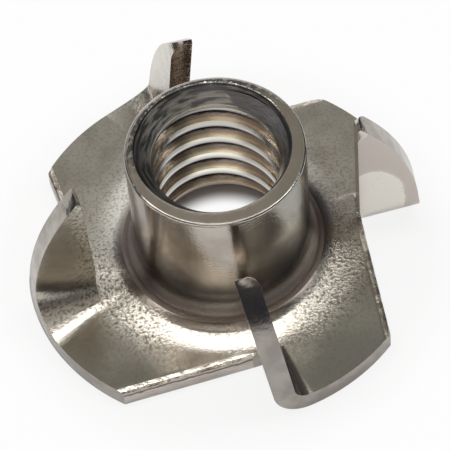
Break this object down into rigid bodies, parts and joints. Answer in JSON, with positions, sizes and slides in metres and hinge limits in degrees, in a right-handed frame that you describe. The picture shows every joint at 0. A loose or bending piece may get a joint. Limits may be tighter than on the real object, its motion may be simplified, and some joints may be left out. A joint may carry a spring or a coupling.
{
  "type": "tee nut",
  "caption": "Pronged tee nut pressed from sheet: a round flange with bent-up claws bites into wood, and its drawn, threaded barrel takes a machine screw.",
  "frame": {"origin": "on the barrel's axis, in the plane of the flange's underside", "axes": "+Z along the barrel's axis, from the flange's underside towards the barrel's lip; +X between the axis and the claw at +X"},
  "size_m": [0.0208, 0.0207, 0.0093],
  "materials": {
    "steel": "satin pressed stainless steel"
  },
  "bodies": {
    "root": {"tee_nut": "steel"}
  },
  "joints": []
}
